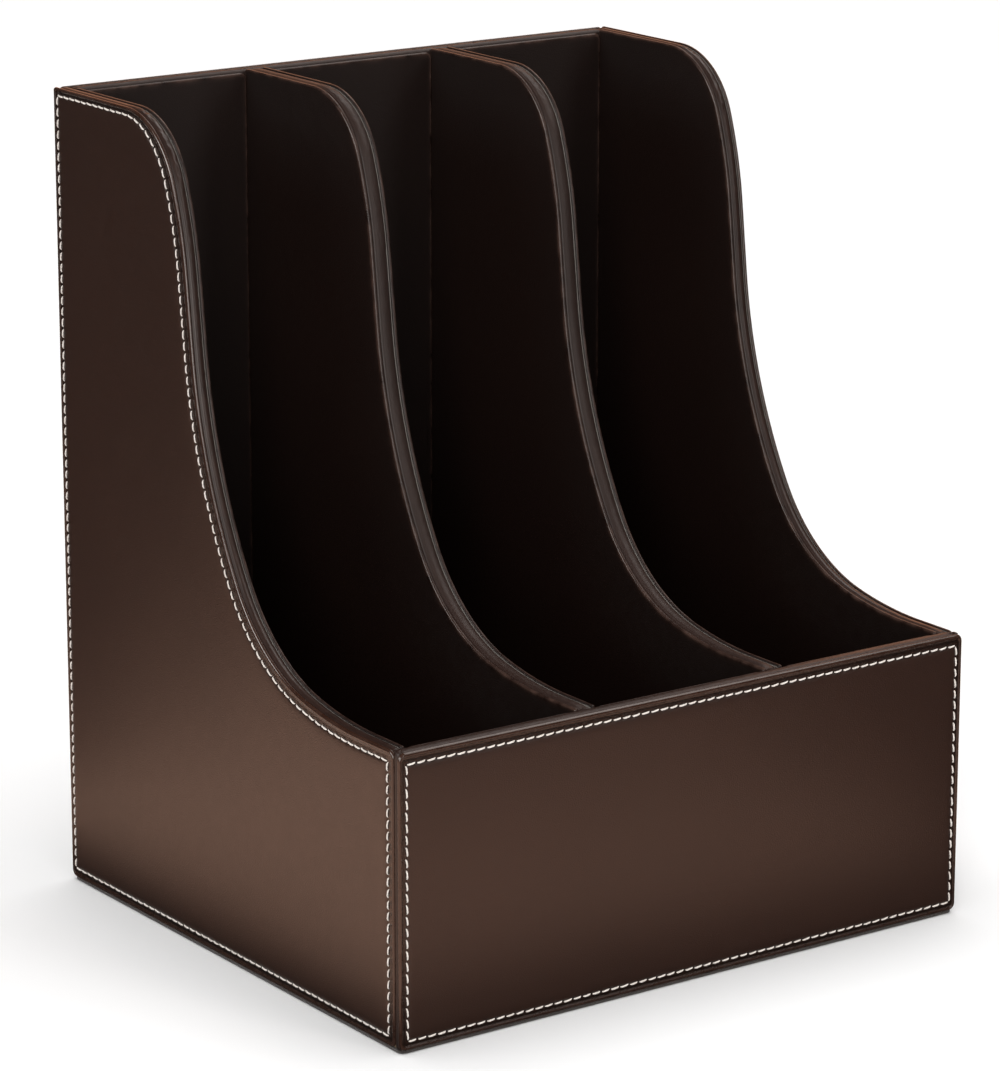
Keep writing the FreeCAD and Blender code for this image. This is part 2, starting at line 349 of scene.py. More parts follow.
def face_outwards(piece):
    """Turn every face of a closed mesh to look outwards."""
    bpy.context.view_layer.objects.active = piece
    piece.select_set(True)
    bpy.ops.object.mode_set(mode="EDIT")
    bpy.ops.mesh.select_all(action="SELECT")
    bpy.ops.mesh.normals_make_consistent(inside=False)
    bpy.ops.object.mode_set(mode="OBJECT")
    piece.select_set(False)
    piece.data.update()


def add_piece(name, points, faces, material, replaced, attributes=None):
    """Closed mesh object from points in millimetres, riding on the body."""
    mesh = bpy.data.meshes.new(name)
    mesh.from_pydata((np.array(points) * MM).tolist(), [], faces)
    mesh.update()
    for key, values in (attributes or {}).items():
        layer = mesh.attributes.new(key, "FLOAT", "POINT")
        layer.data.foreach_set("value", np.array(values, np.float32))
    mesh.shade_smooth()
    piece = bpy.data.objects.new(name, mesh)
    bpy.context.scene.collection.objects.link(piece)
    mesh.materials.append(material)
    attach(piece, BODY)
    if replaced:
        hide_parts(*replaced)
    face_outwards(piece)


def nearest_tree(points):
    """Search tree over flat points."""
    tree = kdtree.KDTree(len(points))
    for index, (u, v) in enumerate(points):
        tree.insert((u, v, 0), index)
    tree.balance()
    return tree


def fill_face(outline, grid):
    """Triangles over a closed outline, with a grid of extra points inside it."""
    low, high = outline.min(0), outline.max(0)
    us = np.arange(low[0] + grid / 2, high[0], grid)
    vs = np.arange(low[1] + grid / 2, high[1], grid)
    nodes = np.array([(u, v) for v in vs for u in us])
    tree = nearest_tree(outline)
    keep = inside(nodes, outline)
    keep &= np.array([tree.find((u, v, 0))[2] > grid / 2 for u, v in nodes])
    points = [Vector(p) for p in np.concatenate([outline, nodes[keep]])]
    found = geometry.delaunay_2d_cdt(points, [], [list(range(len(outline)))], 1, 1e-5)
    made, faces, origins = found[0], found[2], found[3]
    index_of = [origin[0] if origin else None for origin in origins]
    if any(index is None for index in index_of) or len(made) != len(points):
        raise ValueError("the outline crosses itself")
    return nodes[keep], [[index_of[i] for i in face] for face in faces]


def side_plane(base, way):
    """Places a side panel's (Y, Z) point at a height out from the board face at X = base."""
    return lambda u, v, h: (base + way * h, u, v)


def end_plane(base, way):
    """Places a front or back panel's (X, Z) point at a height out from Y = base."""
    return lambda u, v, h: (u, base + way * h, v)


def floor_plane(base):
    """Places a floor panel's (X, Y) point at a height above Z = base."""
    return lambda u, v, h: (u, v, base + h)


def turned_edge(height, radius):
    """(inset, height) points round a turned edge, from behind it to the face."""
    points = []
    for k in range(TURN_STEPS):
        angle = math.pi / 2 * k / TURN_STEPS
        points.append((radius * (1 - math.sin(angle)), radius * (1 - math.cos(angle))))
    for k in range(TURN_STEPS + 1):
        angle = math.pi / 2 * k / TURN_STEPS
        points.append((radius * (1 - math.cos(angle)), height - radius * (1 - math.sin(angle))))
    return points


def plain_face(height):
    """(inset, height) points from a turned edge onto a level face."""
    return [(inset, height - drop) for inset, drop in PLAIN_FACE]


def stitched_edge(height):
    """Turned edge of a sewn panel: a rolled lip, then a margin that rises to the stitches."""
    return [(inset, height - drop) for inset, drop in ROLLED_LIP + STITCHED_MARGIN]


def ripple(u, v, seed, wave):
    """Slow unevenness of leather over card, of a size and a depth."""
    size, depth = wave
    return depth * noise.noise((u / size, v / size, seed))


def edge_point(u, v, inset, level, height, hole_tree, seed):
    """Height of a point of a panel's edge, and how much painted shade it gets in a sewn groove."""
    sunk = 0.0
    h = level
    if level > height * RIPPLE_FROM:
        h += ripple(u, v, seed, RIPPLE)
    if hole_tree and level > height / 4:
        # The sewn grooves get a mask of painted shade, which darkens the leather colour there
        sunk = math.exp(-((inset - GROOVE_SHADE_INSET) / GROOVE_SHADE_WIDTH) ** 2)
    if hole_tree and level > height / 2 and abs(inset - STITCH_INSET) < DENT_REACH:
        gap = hole_tree.find((u, v, 0))[2]
        h -= DENT_DEPTH * math.exp(-((gap / DENT_RADIUS) ** 2))
        sunk = max(sunk, math.exp(-((inset - STITCH_INSET) / STITCH_SHADE_WIDTH) ** 2))
    return h, sunk


def add_panel(name, outline_at, place, height, profile, pocket, looks, replaced, holes, seed):
    """Leather panel: its turned edge, its face, and the pocket behind it for the card."""
    material, slot = looks
    points, rings, wear_and_highlight, groove_shade = [], [], [], []
    hole_tree = None if holes is None else nearest_tree(holes)
    levels = list(profile)
    if pocket:
        levels = [(levels[0][0], pocket)] + levels
    for inset, level in levels:
        # Wear mask: polish of the lip, which also lightens its colour as a painted highlight
        worn_and_highlit = math.exp(-((inset - WEAR_HIGHLIGHT_INSET) / WEAR_HIGHLIGHT_WIDTH) ** 2) if level > height / 4 else 0.0
        ring = []
        for u, v in outline_at(inset):
            h, sunk = edge_point(u, v, inset, level, height, hole_tree, seed)
            ring.append(len(points))
            points.append(place(u, v, h))
            wear_and_highlight.append(worn_and_highlit)
            groove_shade.append(sunk)
        rings.append(ring)
    faces = []
    for inner, outer in zip(rings, rings[1:]):
        count = len(inner)
        for k in range(count):
            faces.append((inner[k], inner[(k + 1) % count], outer[(k + 1) % count], outer[k]))
    face_inset, face_level = levels[-1]
    extra, cells = fill_face(outline_at(face_inset), FACE_GRID)
    index = rings[-1] + list(range(len(points), len(points) + len(extra)))
    for u, v in extra:
        h = face_level + ripple(u, v, seed, RIPPLE) + ripple(u, v, seed + 7, SWELL)
        points.append(place(u, v, h))
        wear_and_highlight.append(0.0)
        groove_shade.append(0.0)
    faces += [[index[i] for i in cell] for cell in cells]
    faces.append(rings[0][::-1])
    marks = {"wear_and_highlight": wear_and_highlight, "groove_shade": groove_shade}
    add_piece(name, points, faces, material, replaced, marks)


# ---------------------------------------------------------------- stitching


def stitch_holes(runs):
    """Evenly spaced holes along each run of a stitch row; the runs meet at shared corner holes."""
    holes = []
    for run in runs:
        gaps = np.linalg.norm(np.diff(run, axis=0), axis=1)
        distance = np.concatenate([[0], np.cumsum(gaps)])
        count = int(round(distance[-1] / STITCH_PITCH))
        at = np.arange(count) * distance[-1] / count
        holes.append(np.c_[np.interp(at, distance, run[:, 0]), np.interp(at, distance, run[:, 1])])
    return np.concatenate(holes)


def box_runs(u_low, u_high, v_low, v_high):
    """The four sides of a rectangular stitch row, from the top right and round by the left."""
    left, right = u_low + STITCH_INSET * SPREAD_END, u_high - STITCH_INSET * SPREAD_END
    low, high = v_low + STITCH_INSET, v_high - STITCH_INSET * SPREAD_SILL
    corners = [(right, high), (left, high), (left, low), (right, low)]
    return [np.array([start, end]) for start, end in zip(corners, corners[1:] + corners[:1])]


def side_runs(y_back, y_front, z_low):
    """The shaped run and the three straight runs of a side panel's stitch row."""
    back, front = y_back - STITCH_INSET * SPREAD_BACK, y_front + STITCH_INSET
    low = z_low + STITCH_INSET * SPREAD_LOW
    rim, end = rim_points(back, front, STITCH_INSET, FINE_STEP)
    shaped = np.concatenate([rim, [end]])
    corners = [end, (front, low), (back, low), rim[0]]
    return [shaped] + [np.array([start, stop]) for start, stop in zip(corners, corners[1:])]


def add_stitches(name, holes, place, height, material, replaced, seed):
    """A row of separate stitches: each dives into its two holes and lies twisted between them."""
    draw = random.Random(seed)
    sides, slices = 10, 11
    points, faces = [], []
    for start, end in zip(holes, np.roll(holes, -1, axis=0)):
        along = (end - start) / np.linalg.norm(end - start)
        across = np.array((-along[1], along[0]))
        slant = STITCH_SLANT + draw.uniform(-SLANT_SPREAD, SLANT_SPREAD)
        shift = draw.uniform(-SHIFT_SPREAD, SHIFT_SPREAD)
        half = STITCH_LENGTH / 2 * draw.uniform(*LENGTH_SPREAD)
        middle = (start + end) / 2
        twist = draw.uniform(0, math.pi)
        first = len(points)
        for i in range(slices):
            t = -1 + 2 * i / (slices - 1)
            centre = middle + along * half * t + across * (slant * t + shift)
            lift = height - STITCH_SINK - STITCH_DIVE * abs(t) ** 4
            radius = THREAD_RADIUS * (1 - THREAD_TAPER * abs(t) ** 6)
            for j in range(sides):
                angle = 2 * math.pi * j / sides
                ply = 1 + PLY_DEPTH * math.cos(2 * (angle - twist - PLY_TURNS * t))
                u, v = centre + across * radius * ply * math.cos(angle) * THREAD_WIDE
                points.append(place(u, v, lift + radius * ply * math.sin(angle) * THREAD_FLAT))
        for i in range(slices - 1):
            for j in range(sides):
                a, b = first + i * sides + j, first + i * sides + (j + 1) % sides
                faces.append((a, b, b + sides, a + sides))
        faces.append([first + j for j in range(sides)][::-1])
        faces.append([first + (slices - 1) * sides + j for j in range(sides)])
    add_piece(name, points, faces, material, replaced)


# ---------------------------------------------------------------- edge bindings


def crowned_section(width, thickness, seam=0.0, skirt=0.0):
    """Crowned leather section as (across, height), with a sunk seam and skirts if given."""
    half = width / 2
    crown = []
    for k in range(CROWN_STEPS + 1):
        b = math.sin(math.pi * (k / CROWN_STEPS - 0.5))
        height = (1 - b**2) ** 0.5 if abs(b) < 1 else 0.0
        sunk = seam * math.exp(-(((b + SEAM_PLACE) * half / SEAM_WIDTH) ** 2))
        crown.append((half * b, -thickness * (1 - height) - sunk))
    if not skirt:
        return crown
    out = half + SKIRT_OUT
    left = [(-out, -thickness - skirt), (-out, -thickness - SKIRT_DROP)]
    right = [(out, -thickness - SKIRT_DROP), (out, -thickness - skirt)]
    return left + crown + right


def add_band(name, path, outwards, across, section, crease, dip, shine, replaced, seed):
    """Leather strip along a path of points in space. Crease and dip are depths at each point."""
    path, outwards, across = np.array(path), np.array(outwards), np.array(across)
    gaps = np.linalg.norm(np.diff(path, axis=0), axis=1)
    distance = np.concatenate([[0], np.cumsum(gaps)])
    points, wear_and_highlight = [], []
    size = len(section)
    half = section[-1][0]
    foot = min(h for b, h in section if abs(b) < half * 0.99)
    for s, centre, normal, depth, low in zip(distance, path, outwards, crease, dip):
        for b, h in section:
            raised = max(0.0, 1 - h / foot)
            fold = abs(noise.noise((s / CREASE_SIZE[0], b / CREASE_SIZE[1], seed)))
            valley = max(0.0, 1 - fold / CREASE_SHARPNESS) ** 2
            swell = noise.noise((s / SWELL_SIZE[0], b / SWELL_SIZE[1], seed + 3))
            side = CREASE_LEAN + CREASE_LEAN * b / half
            wrinkle = side * valley + SWELL_SHARE * (0.5 + 0.5 * swell)
            drop = raised * depth * wrinkle + raised * low
            points.append(centre + across * b + normal * (h - drop))
            # The crown's wear mask also lightens its colour as a painted highlight
            wear_and_highlight.append(shine * raised**2)
    faces = []
    for i in range(len(path) - 1):
        for j in range(size):
            a, b = i * size + j, i * size + (j + 1) % size
            faces.append((a, b, b + size, a + size))
    faces.append(list(range(size))[::-1])
    faces.append([(len(path) - 1) * size + j for j in range(size)])
    add_piece(name, points, faces, EDGE, replaced, {"wear_and_highlight": wear_and_highlight})


def tuck(distance, total, front, back):
    """How far a band dips at its ends: front at its far end, back at its near end.

    Each is (depth, reach).
    """
    at_front = front[0] * np.exp(-(((total - distance) / front[1]) ** 2))
    return at_front + back[0] * np.exp(-((distance / back[1]) ** 2))


def shaped_band(name, node, front_dip, creases, shine, seed):
    """Binding over a wall's shaped top edge."""
    low, high = cad_box(node)
    middle = (low[0] + high[0]) / 2
    rim, end = rim_points(high[1], low[1], 0.0, FINE_STEP)
    rim = np.concatenate([rim, [end]])
    along = np.gradient(rim, axis=0)
    along /= np.linalg.norm(along, axis=1)[:, None]
    turn = np.gradient(np.unwrap(np.arctan2(along[:, 1], along[:, 0])))
    path = [(middle, y, z) for y, z in rim]
    outwards = [(0, a[1], -a[0]) for a in along]
    distance = np.concatenate([[0], np.cumsum(np.linalg.norm(np.diff(rim, axis=0), axis=1))])
    crease = creases[0] + creases[1] * np.clip(turn / turn.max(), 0, 1)
    dip = tuck(distance, distance[-1], (front_dip, FRONT_TUCK_REACH), END_TUCK)
    section = crowned_section(high[0] - low[0], BINDING_THICKNESS, SEAM_DEPTH, SKIRT)
    add_band(name, path, outwards, (1, 0, 0), section, crease, dip, shine, [node], seed)


def level_band(name, node, depth, shine, seed):
    """Binding over the level top edge of the front or back."""
    low, high = cad_box(node)
    middle = (low[1] + high[1]) / 2
    xs = np.linspace(low[0], high[0], steps_for(high[0] - low[0], FINE_STEP) + 1)
    path = [(x, middle, high[2]) for x in xs]
    outwards = [(0, 0, 1)] * len(path)
    section = crowned_section(high[1] - low[1], high[2] - low[2], 0.0, SKIRT)
    dip = tuck(xs - xs[0], xs[-1] - xs[0], END_TUCK, END_TUCK)
    crease = [depth] * len(path)
    add_band(name, path, outwards, (0, 1, 0), section, crease, dip, shine, [node], seed)


def upright_band(name, node, way, seed):
    """Rolled strip down a front corner."""
    low, high = cad_box(node)
    middle = (low[1] + high[1]) / 2
    outer = low[0] if way < 0 else high[0]
    zs = np.linspace(low[2], high[2], steps_for(high[2] - low[2], FINE_STEP) + 1)
    path = [(outer, middle, z) for z in zs]
    outwards = [(way, 0, 0)] * len(path)
    section = crowned_section(high[1] - low[1], high[0] - low[0])
    dip = tuck(zs - zs[0], zs[-1] - zs[0], STRIP_TUCK, STRIP_TUCK) + STRIP_SINK
    crease = [STRIP_CREASE] * len(path)
    add_band(name, path, outwards, (0, 1, 0), section, crease, dip, 0.2, [node], seed)


def add_fold(name, centre, reach, rise, seed):
    """Small gathered fold of leather where two bindings meet."""
    rings, spokes = FOLD_RINGS, FOLD_SPOKES
    points = [(centre[0], centre[1], centre[2] + rise * 0.75)]
    # The fold's wear mask is highest at its top, which paints a highlight there
    wear_and_highlight = [1.0]
    for i in range(1, rings + 1):
        for j in range(spokes):
            angle = 2 * math.pi * j / spokes
            out = i / rings
            pleat = math.cos(FOLD_PLEATS * angle + 2.0 * out + seed) * math.sin(math.pi * out)
            lump = noise.noise((math.cos(angle) * 1.3, math.sin(angle) * 1.3, seed + out))
            x = centre[0] + reach[0] * out * math.cos(angle) * (1 + FOLD_WAVER * lump)
            y = centre[1] + reach[1] * out * math.sin(angle) * (1 + FOLD_WAVER * lump)
            z = centre[2] + rise * ((1 - out**2) * (1 + 0.25 * lump) + 0.30 * pleat) - 1.0 * out**4
            points.append((x, y, z))
            wear_and_highlight.append(1.0 - out)
    faces = [(0, 1 + j, 1 + (j + 1) % spokes) for j in range(spokes)]
    for i in range(rings - 1):
        for j in range(spokes):
            a, b = 1 + i * spokes + j, 1 + i * spokes + (j + 1) % spokes
            faces.append((a, a + spokes, b + spokes, b))
    faces.append([1 + (rings - 1) * spokes + j for j in range(spokes)])
    add_piece(name, points, faces, EDGE, None, {"wear_and_highlight": wear_and_highlight})


# ---------------------------------------------------------------- materials


class Nodes:
    """Helper that builds a material's node tree."""

    def __init__(self, name):
        self.material = bpy.data.materials.new(name)
        self.material.use_nodes = True
        self.tree = self.material.node_tree
        self.shader = self.tree.nodes["Principled BSDF"]
        self.place = self.add("ShaderNodeTexCoord").outputs["Object"]

    def add(self, kind, **settings):
        """New node with some of its settings."""
        node = self.tree.nodes.new(kind)
        for key, value in settings.items():
            setattr(node, key, value)
        return node

    def join(self, source, target):
        """Link from an output to an input."""
        self.tree.links.new(source, target)

    def noise(self, scale, detail=3.0, rough=0.5):
        """Soft random pattern, with scale in cycles per metre."""
        node = self.add("ShaderNodeTexNoise")
        self.join(self.place, node.inputs["Vector"])
        node.inputs["Scale"].default_value = scale
        node.inputs["Detail"].default_value = detail
        node.inputs["Roughness"].default_value = rough
        return node.outputs["Fac"]

    def cells(self, scale):
        """Distance from the middle of random cells."""
        node = self.add("ShaderNodeTexVoronoi")
        self.join(self.place, node.inputs["Vector"])
        node.inputs["Scale"].default_value = scale
        return node.outputs["Distance"]

    def spread(self, source, low, high, to_low=0.0, to_high=1.0):
        """Stretch the range low to high over another range, and clip it."""
        node = self.add("ShaderNodeMapRange")
        self.join(source, node.inputs["Value"])
        limits = {"From Min": low, "From Max": high, "To Min": to_low, "To Max": to_high}
        for key, value in limits.items():
            node.inputs[key].default_value = value
        return node.outputs["Result"]

    def attribute(self, name):
        """Value painted on the points of the mesh."""
        return self.add("ShaderNodeAttribute", attribute_name=name).outputs["Fac"]

    def calculate(self, operation, first, second):
        """Arithmetic on two numbers or outputs."""
        node = self.add("ShaderNodeMath", operation=operation)
        for socket, value in zip(node.inputs, (first, second)):
            if isinstance(value, (int, float)):
                socket.default_value = value
            else:
                self.join(value, socket)
        return node.outputs["Value"]

    def mix(self, factor, first, second):
        """Blend of two colours."""
        node = self.add("ShaderNodeMix", data_type="RGBA")
        self.join(factor, node.inputs["Factor"])
        for socket, value in ((node.inputs[6], first), (node.inputs[7], second)):
            if isinstance(value, tuple):
                socket.default_value = (*value, 1.0)
            else:
                self.join(value, socket)
        return node.outputs[2]

    def bump(self, height, strength, distance, below=None):
        """Relief, added to the relief below it if that is given."""
        node = self.add("ShaderNodeBump")
        if isinstance(strength, float):
            node.inputs["Strength"].default_value = strength
        else:
            self.join(strength, node.inputs["Strength"])
        node.inputs["Distance"].default_value = distance
        self.join(height, node.inputs["Height"])
        if below is not None:
            self.join(below, node.inputs["Normal"])
        return node.outputs["Normal"]


def leather_material(name, base, worn_and_highlit, rough, level, grain):
    """Smooth coated leather: fine pebble grain, slow mottling, edges polished by handling and
    painted lighter as a highlight, and painted shade in the sewn grooves.
    """
    n = Nodes(name)
    # Colour: mottled and speckled, painted paler on the worn lips as a highlight, and with painted
    # shade in the sewn groove
    mottling = n.spread(n.noise(16.0, 4.0, 0.55), 0.3, 0.7)
    speckle = n.spread(n.noise(900.0, 3.0, 0.6), 0.35, 0.65)
    colour = n.mix(mottling, tuple(0.93 * c for c in base), tuple(1.06 * c for c in base))
    colour = n.mix(n.calculate("MULTIPLY", speckle, 0.35), colour, tuple(0.70 * c for c in base))
    polish = n.attribute("wear_and_highlight")
    wear_and_highlight_mix = n.calculate("MULTIPLY", polish, n.spread(n.noise(160.0, 4.0), 0.3, 0.75))
    # Painted highlight: the worn colour, far paler than the leather, is laid on the polished lips
    colour = n.mix(wear_and_highlight_mix, colour, worn_and_highlit)
    groove_shade = n.attribute("groove_shade")
    # Painted shade: the sewn grooves are darkened towards a third of the base colour
    colour = n.mix(n.calculate("MULTIPLY", groove_shade, 0.9), colour, tuple(0.30 * c for c in base))
    n.join(colour, n.shader.inputs["Base Color"])
    # Sheen: polished lips and grooves are smoother
    gloss = n.spread(n.noise(240.0, 5.0, 0.6), 0.3, 0.7, rough - 0.03, rough + 0.03)
    gloss = n.calculate("SUBTRACT", gloss, n.calculate("MULTIPLY", polish, 0.20))
    gloss = n.calculate("SUBTRACT", gloss, n.calculate("MULTIPLY", groove_shade, 0.10))
    n.join(gloss, n.shader.inputs["Roughness"])
    # Grain: pebbles and pores, worn away where the leather is polished
    smoothed = n.calculate("SUBTRACT", 1.0, n.calculate("MULTIPLY", polish, 0.90))
    cells = n.cells(2000.0)
    pebble = n.bump(cells, n.calculate("MULTIPLY", smoothed, 0.22 * grain), 0.0003)
    fine = n.noise(3200.0, 3.0, 0.6)
    pores = n.bump(fine, n.calculate("MULTIPLY", smoothed, 0.18 * grain), 0.0003, pebble)
    n.join(pores, n.shader.inputs["Normal"])
    n.shader.inputs["Specular IOR Level"].default_value = level
    return n.material


def thread_material():
    """Cream bonded polyester thread with fine fibres."""
    n = Nodes("cream_thread")
    colour = n.mix(n.spread(n.noise(900.0, 3.0), 0.3, 0.7), (0.76, 0.70, 0.65), (0.95, 0.90, 0.85))
    soil = n.spread(n.noise(45.0, 2.0), 0.35, 0.75)
    colour = n.mix(n.calculate("MULTIPLY", soil, 0.25), colour, (0.66, 0.56, 0.47))
    n.join(colour, n.shader.inputs["Base Color"])
    n.join(n.spread(n.noise(1200.0, 2.0), 0.3, 0.7, 0.45, 0.62), n.shader.inputs["Roughness"])
    n.join(n.bump(n.noise(5200.0, 3.0), 0.25, 0.0002), n.shader.inputs["Normal"])
    n.shader.inputs["Sheen Weight"].default_value = 0.25
    return n.material


def board_material(name, dark, light):
    """Fibreboard or grey card: short random fibres in two tones."""
    n = Nodes(name)
    fibres = n.spread(n.noise(700.0, 6.0, 0.7), 0.3, 0.7)
    patches = n.spread(n.noise(35.0, 3.0), 0.3, 0.7)
    colour = n.mix(fibres, dark, light)
    colour = n.mix(n.calculate("MULTIPLY", patches, 0.3), colour, tuple(0.8 * c for c in dark))
    n.join(colour, n.shader.inputs["Base Color"])
    n.join(n.spread(fibres, 0.0, 1.0, 0.78, 0.92), n.shader.inputs["Roughness"])
    n.join(n.bump(n.noise(1800.0, 4.0, 0.7), 0.3, 0.0004), n.shader.inputs["Normal"])
    return n.material


def felt_material():
    """Short-nap dark brown felt."""
    n = Nodes("brown_felt")
    nap = n.spread(n.noise(1600.0, 6.0, 0.75), 0.3, 0.7)
    colour = n.mix(nap, (0.016, 0.012, 0.010), (0.045, 0.034, 0.029))
    n.join(colour, n.shader.inputs["Base Color"])
    n.join(n.spread(n.noise(300.0, 3.0), 0.3, 0.7, 0.88, 0.98), n.shader.inputs["Roughness"])
    n.join(n.bump(nap, 0.6, 0.0006), n.shader.inputs["Normal"])
    n.shader.inputs["Sheen Weight"].default_value = 0.3
    return n.material


# Base colour, and the worn colour that also paints a highlight on the lips, then roughness,
# specular level and depth of the grain
OUTER = leather_material(
    "outer_leather", (0.027, 0.0095, 0.0048), (0.050, 0.026, 0.019), 0.34, 0.62, 0.9
)
EDGE = leather_material(
    "edge_leather", (0.019, 0.0090, 0.0066), (0.030, 0.0150, 0.0112), 0.52, 0.42, 0.30
)
LINING = leather_material(
    "lining_leather", (0.0125, 0.0060, 0.0046), (0.080, 0.047, 0.037), 0.42, 0.32, 1.0
)
THREAD = thread_material()
MDF = board_material("fibreboard", (0.36, 0.25, 0.16), (0.50, 0.37, 0.25))
CARD = board_material("grey_card", (0.30, 0.28, 0.26), (0.46, 0.44, 0.41))
FELT = felt_material()


# ---------------------------------------------------------------- the object


def add_side_panel(side, seed):
    """Stitched outer panel of the left or right side."""
    node = side + "_panel_leather"
    low, high = cad_box(node)
    way = -1 if side == "left" else 1
    base = high[0] if way < 0 else low[0]
    place = side_plane(base, way)

    def outline_at(inset):
        return side_outline(high[1], low[1], low[2], COVER_CORNER, COVER_CORNER, inset, FINE_STEP)

    runs = side_runs(high[1], low[1], low[2])
    add_stitched_panel(side + "_panel", outline_at, runs, place, seed)


def add_end_panel(end, seed):
    """Stitched outer panel of the front or back."""
    node = end + "_panel_leather"
    low, high = cad_box(node)
    way = -1 if end == "front" else 1
    base = high[1] if way < 0 else low[1]
    place = end_plane(base, way)

    def outline_at(inset):
        return box_outline(low[0], high[0], low[2], high[2], COVER_CORNER, inset, FINE_STEP)

    runs = box_runs(low[0], high[0], low[2], high[2])
    add_stitched_panel(end + "_panel", outline_at, runs, place, seed)


def add_stitched_panel(name, outline_at, runs, place, seed):
    """Outer leather with its row of stitches."""
    holes = stitch_holes(runs)
    looks = (OUTER, "outer_leather")
    replaced, sewn = [name + "_leather"], [name + "_thread"]
    add_panel(
        name + "_cover", outline_at, place, PANEL, stitched_edge(PANEL), CARD_THICKNESS, looks,
        replaced, holes, seed,
    )
    add_stitches(name + "_stitches", holes, place, PANEL, THREAD, sewn, int(seed * 10))


def add_wall_lining(node, seed):
    """Lining of a side board or one face of a divider."""
    low, high = cad_box(node)
    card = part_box(node + "_card")[0][0] / MM
    way = -1 if card > low[0] + 0.1 else 1
    base = high[0] if way < 0 else low[0]

    def outline_at(inset):
        return side_outline(
            high[1], low[1], low[2], LINING_CORNER, LINING_TIP, inset, COARSE_STEP
        )

    profile = turned_edge(PANEL, LINING_ROLL) + plain_face(PANEL)
    add_panel(
        node + "_leather", outline_at, side_plane(base, way), PANEL, profile, CARD_THICKNESS,
        (LINING, "lining_leather"), [node], None, seed,
    )


def add_bay_lining(bay, part, seed):
    """Lining of a bay's back, front or floor."""
    node = bay + "_bay_" + part + "_lining"
    low, high = cad_box(node)
    if part == "floor":
        thickness, place = high[2] - low[2], floor_plane(low[2])
        v_low, v_high = low[1], high[1]
        corner, roll = FLOOR_LINING_CORNER, THIN_ROLL
    else:
        way = -1 if part == "back" else 1
        base = high[1] if way < 0 else low[1]
        thickness, place = high[1] - low[1], end_plane(base, way)
        v_low, v_high = low[2], high[2]
        corner, roll = BACK_LINING_CORNER, BACK_LINING_ROLL

    def outline_at(inset):
        return box_outline(low[0], high[0], v_low, v_high, corner, inset, COARSE_STEP)

    profile = turned_edge(thickness, roll) + plain_face(thickness)
    add_panel(
        node + "_leather", outline_at, place, thickness, profile, None,
        (LINING, "lining_leather"), [node], None, seed,
    )


def add_base():
    """Felt sheet under the box."""
    low, high = cad_box("base_pad")

    def outline_at(inset):
        return box_outline(low[0], high[0], low[1], high[1], FELT_CORNER, inset, COARSE_STEP)

    profile = turned_edge(high[2] - low[2], THIN_ROLL)
    add_panel(
        "base_felt", outline_at, floor_plane(low[2]), high[2] - low[2], profile, None,
        (FELT, "felt"), ["base_pad"], None, 5.5,
    )


def add_corner_folds():
    """Gathered folds where the bindings meet: at the front, on the dividers and at the back."""
    front_low, front_high = cad_box("front_binding")
    middle_y = (front_low[1] + front_high[1]) / 2
    for seed, side in enumerate(("left", "right"), 1):
        low, high = cad_box(side + "_side_binding")
        corner = ((low[0] + high[0]) / 2, middle_y - 0.6, front_high[2] - 0.9)
        add_fold(side + "_corner_fold", corner, (2.9, 2.4), 0.9, seed * 1.9)
        outer = low[0] + 1.0 if side == "left" else high[0] - 1.0
        low, high = cad_box(side + "_divider_binding")
        seat = ((low[0] + high[0]) / 2, front_high[1] + 0.5, front_high[2] - 1.1)
        add_fold(side + "_divider_fold", seat, (3.4, 1.6), 0.8, seed * 2.3)
        back = (outer, BACK_Y - 3.4, TOP_Z - 1.3)
        add_fold(side + "_back_fold", back, (2.6, 2.2), 0.9, seed * 3.1)


def paint_hidden_nodes():
    """Materials for the boards and cards inside the leather."""
    for name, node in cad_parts.items():
        if name.endswith("_board"):
            material = MDF
        elif name.endswith("_card"):
            material = CARD
        else:
            continue
        node.data.materials.clear()
        node.data.materials.append(material)


# ---------------------------------------------------------------- studio

# Levels of the floor and of the cards on it, in metres
FLOOR_LEVEL = -0.0002
CARD_LEVEL = 0.0003


def pale_material(name, colour, glow=0.0):
    """Matt pale surface, very slightly uneven, which may glow a little."""
    n = Nodes(name)
    n.shader.inputs["Emission Color"].default_value = (*colour, 1.0)
    n.shader.inputs["Emission Strength"].default_value = glow
    uneven = n.mix(n.noise(3.0, 2.0), tuple(0.97 * c for c in colour), colour)
    n.join(uneven, n.shader.inputs["Base Color"])
    n.shader.inputs["Roughness"].default_value = 0.9
    n.shader.inputs["Specular IOR Level"].default_value = 0.1
    return n.material


def add_sheet(name, material, polygons):
    """Flat or upright polygons of the studio, each given by its corners."""
    mesh = bpy.data.meshes.new(name)
    points, faces = [], []
    for corners in polygons:
        faces.append(tuple(range(len(points), len(points) + len(corners))))
        points += corners
    mesh.from_pydata(points, [], faces)
    mesh.materials.append(material)
    sheet = bpy.data.objects.new(name, mesh)
    bpy.context.scene.collection.objects.link(sheet)
    return sheet


def mirrored_only(sheet):
    """Leave a sheet visible only in the sheen of the leather."""
    sheet.visible_camera = False
    sheet.visible_diffuse = False
    sheet.visible_transmission = False
    sheet.visible_shadow = False


def flat_polygon(*corners):
    """Corners just above the floor."""
    return [(x, y, CARD_LEVEL) for x, y in corners]


